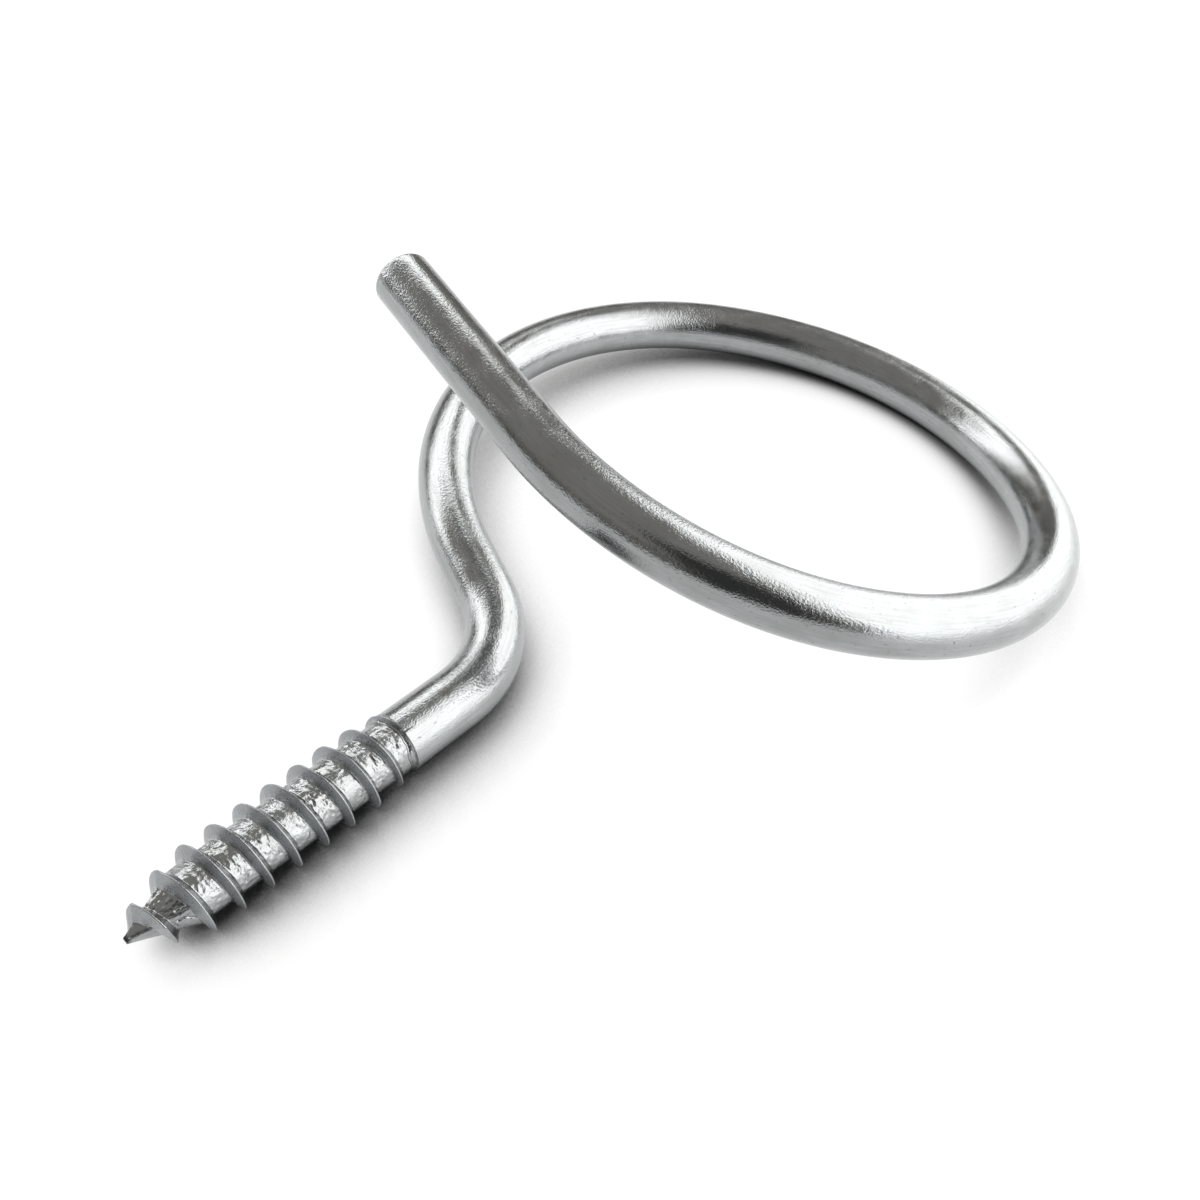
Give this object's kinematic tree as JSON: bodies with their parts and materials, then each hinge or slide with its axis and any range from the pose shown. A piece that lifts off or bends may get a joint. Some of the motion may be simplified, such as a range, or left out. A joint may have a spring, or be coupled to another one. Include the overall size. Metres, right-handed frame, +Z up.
{
  "type": "bridle ring",
  "caption": "Wire bridle ring with a wood-screw shank: the wire turns aside at the neck and winds into an open ring whose free end passes over the neck, leaving a side entry for cable.",
  "frame": {"origin": "centre of the bounding box at the surface that the ring rests on", "axes": "+X along the shank from the screw point towards the ring, +Z up as the ring lies at rest, on its thread and on the far side of its ring"},
  "size_m": [0.0976, 0.0614, 0.0256],
  "materials": {
    "zinc_steel": "bright zinc plating over drawn wire"
  },
  "bodies": {
    "root": {"bridle_ring": "zinc_steel"}
  },
  "joints": []
}
